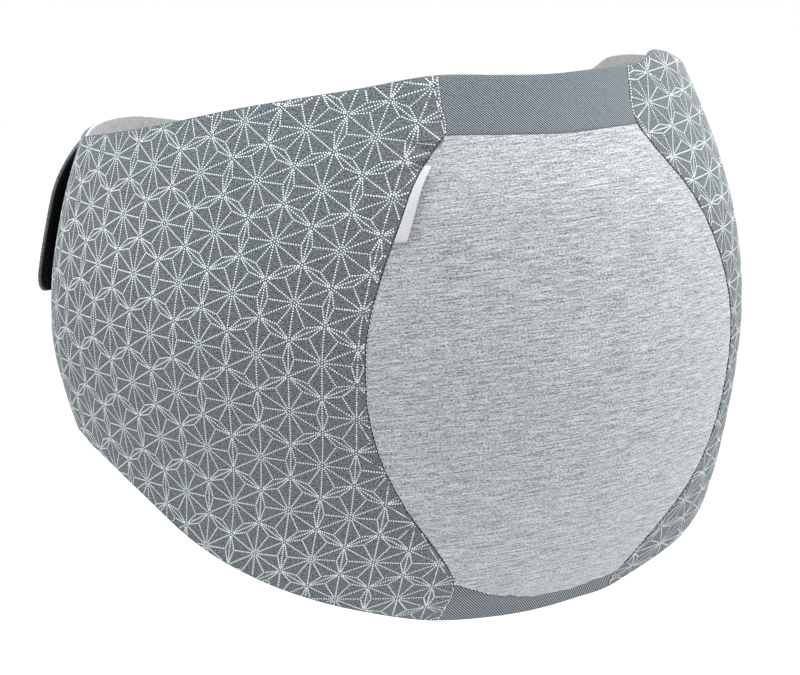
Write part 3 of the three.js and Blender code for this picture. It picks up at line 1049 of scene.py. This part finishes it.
def thread(name, dark, light):
    finish = Finish(name, 0.7, 0.1)
    twist = finish.noise(0.4, 0.4, 1, 3.0)
    finish.colour(finish.blend(finish.spread(twist, 0.3, 0.7), dark, light))
    return finish.material


# Assembly


def build_belt():
    cloth = printed_cloth()
    ink = print_ink()
    jersey = heather_jersey()
    elastic = ribbed_elastic()
    lining = knit_lining()
    dark_thread = thread("dark_thread", tone(8, 9, 10), tone(22, 24, 27))
    light_thread = thread("light_thread", tone(206, 211, 214), tone(236, 240, 242))
    grey_thread = thread("grey_thread", tone(96, 101, 105), tone(126, 131, 134))

    panel_layer = {
        "inset": 0, "shows": 0, "outside": 0, "wall": PANEL_WALL, "puckered": True,
    }
    lining_layer = {
        "inset": LINING_INSET, "shows": LINING_SHOWS, "outside": -PANEL_WALL - LAYER_GAP / 2,
        "wall": LINING_WALL, "puckered": False,
    }
    sides = (
        ("right", -1, RIGHT_PANEL_END, RIGHT_LATTICE),
        ("left", 1, LEFT_PANEL_END, LEFT_LATTICE),
    )
    for word, turned, end, lattice in sides:
        panel = side_sheet(
            f"printed_side_{word}", f"side_panel_{word}", cloth,
            turned, end, panel_layer, PANEL_COLUMNS,
        )
        inside = side_sheet(
            f"knit_lining_{word}", f"lining_{word}", lining,
            turned, end, lining_layer, LINING_COLUMNS,
        )
        dots = side_print(f"print_dots_{word}", lattice, turned, end, ink)
        seam = belly_seam_stitches(f"stitches_belly_{word}", turned, dark_thread)
        upper = band_seam_stitches(f"stitches_upper_{word}", turned, UPPER, light_thread)
        lower = band_seam_stitches(f"stitches_lower_{word}", turned, LOWER, light_thread)

    belly = front_sheet(
        "jersey_belly", "belly_panel", jersey, BELLY,
        SEAM_GAP, SEAM_GAP, JERSEY_WALL, BELLY_ROWS, FRONT_COLUMNS,
    )
    upper = front_sheet(
        "elastic_upper", "upper_band", elastic, UPPER,
        0, SEAM_GAP, ELASTIC_WALL, UPPER_ROWS, FRONT_COLUMNS,
    )
    lower = front_sheet(
        "elastic_lower", "lower_band", elastic, LOWER,
        SEAM_GAP, 0, ELASTIC_WALL, LOWER_ROWS, FRONT_COLUMNS,
    )

    flap_start = LEFT_PANEL_END + SEAM_GAP / float(degree_length(LEFT_PANEL_END, 0.0))
    flap = flap_sheet(
        "printed_flap", "closure_flap", cloth,
        flap_start, 0, FLAP_WALL, 0, FLAP_COLUMNS,
    )
    hooks = flap_sheet(
        "hook_strip", "hook_tape", hook_plastic(),
        HOOK_START, HOOK_MARGIN, HOOK_WALL, FLAP_WALL + LAYER_GAP / 2, HOOK_COLUMNS,
    )
    flap_dots = flap_print(ink)
    flap_seam = flap_stitches(grey_thread)
    label = seam_label(ribbon())


# Stage, light and camera

CAMERA_AZIMUTH = -31
CAMERA_ELEVATION = 5
CAMERA_ROLL = 6
CAMERA_DISTANCE = 1.3
CAMERA_LENS = 128.1
CAMERA_SHIFT = (0.0238, -0.0506)
FLOOR_DROP = 0.25
FLOOR_REACH = 30
FLOOR_GLOW = 0.76  # the pale floor is lit from inside and as light as the wall behind it

# Columns: name, place to the right of, above and in front of the belt as the camera sees it
# (in metres), size in metres and power in watts.
LIGHTS = (
    ("right", (1.7, 0.55, -0.1), 1.2, 18),
    ("top", (0.2, 1.75, 0.15), 1.2, 58),
    ("left", (-1.75, 0.2, 0.2), 1.2, 6),
    ("rear", (0.3, 1.0, -1.6), 1.4, 12),
)


def view_axes():
    """Right, up and back of the camera before it is rolled."""
    azimuth, elevation = math.radians(CAMERA_AZIMUTH), math.radians(CAMERA_ELEVATION)
    back = Vector((
        math.sin(azimuth) * math.cos(elevation),
        -math.cos(azimuth) * math.cos(elevation),
        math.sin(elevation),
    ))
    right = Vector((math.cos(azimuth), math.sin(azimuth), 0))
    return right, back.cross(right), back


def add_camera():
    right, up, back = view_axes()
    roll = math.radians(CAMERA_ROLL)
    across = right * math.cos(roll) - up * math.sin(roll)
    upright = right * math.sin(roll) + up * math.cos(roll)
    data = bpy.data.cameras.new("camera")
    data.sensor_width = 36
    data.sensor_fit = "HORIZONTAL"
    data.lens = CAMERA_LENS
    data.shift_x, data.shift_y = CAMERA_SHIFT
    camera = bpy.data.objects.new("camera", data)
    turn = Matrix((across, upright, back)).transposed()
    camera.matrix_world = Matrix.Translation(back * CAMERA_DISTANCE) @ turn.to_4x4()
    bpy.context.scene.collection.objects.link(camera)
    bpy.context.scene.camera = camera


def add_light(name, place, size, power):
    """A square soft light that faces the belt."""
    right, up, back = view_axes()
    data = bpy.data.lights.new(name, "AREA")
    data.size = size
    data.energy = power
    light = bpy.data.objects.new(name, data)
    at = right * place[0] + up * place[1] + back * place[2]
    light.location = at
    light.rotation_euler = at.to_track_quat("Z", "Y").to_euler()
    bpy.context.scene.collection.objects.link(light)


def add_stage():
    low = min(cad_box[0][2], cad_box[1][2])
    mesh = bpy.data.meshes.new("floor")
    z = low - FLOOR_DROP
    corners = [(FLOOR_REACH * x, FLOOR_REACH * y, z) for x, y in ((-1, -1), (1, -1), (1, 1), (-1, 1))]
    mesh.from_pydata(corners, [], [(0, 1, 2, 3)])
    floor = bpy.data.objects.new("floor", mesh)
    material = bpy.data.materials.new("pale_floor")
    material.use_nodes = True
    shader = material.node_tree.nodes["Principled BSDF"]
    shader.inputs["Base Color"].default_value = (0.25, 0.25, 0.25, 1)
    shader.inputs["Roughness"].default_value = 0.9
    shader.inputs["Emission Color"].default_value = (1, 1, 1, 1)
    shader.inputs["Emission Strength"].default_value = FLOOR_GLOW
    mesh.materials.append(material)
    bpy.context.scene.collection.objects.link(floor)

    world = bpy.data.worlds.new("studio")
    world.use_nodes = True
    background = world.node_tree.nodes["Background"]
    background.inputs["Color"].default_value = (1, 1, 1, 1)
    background.inputs["Strength"].default_value = 1.0
    bpy.context.scene.world = world
    bpy.context.scene.view_settings.view_transform = "Standard"


build_belt()
add_stage()
add_camera()
for light_name, light_place, light_size, light_power in LIGHTS:
    add_light(light_name, light_place, light_size, light_power)
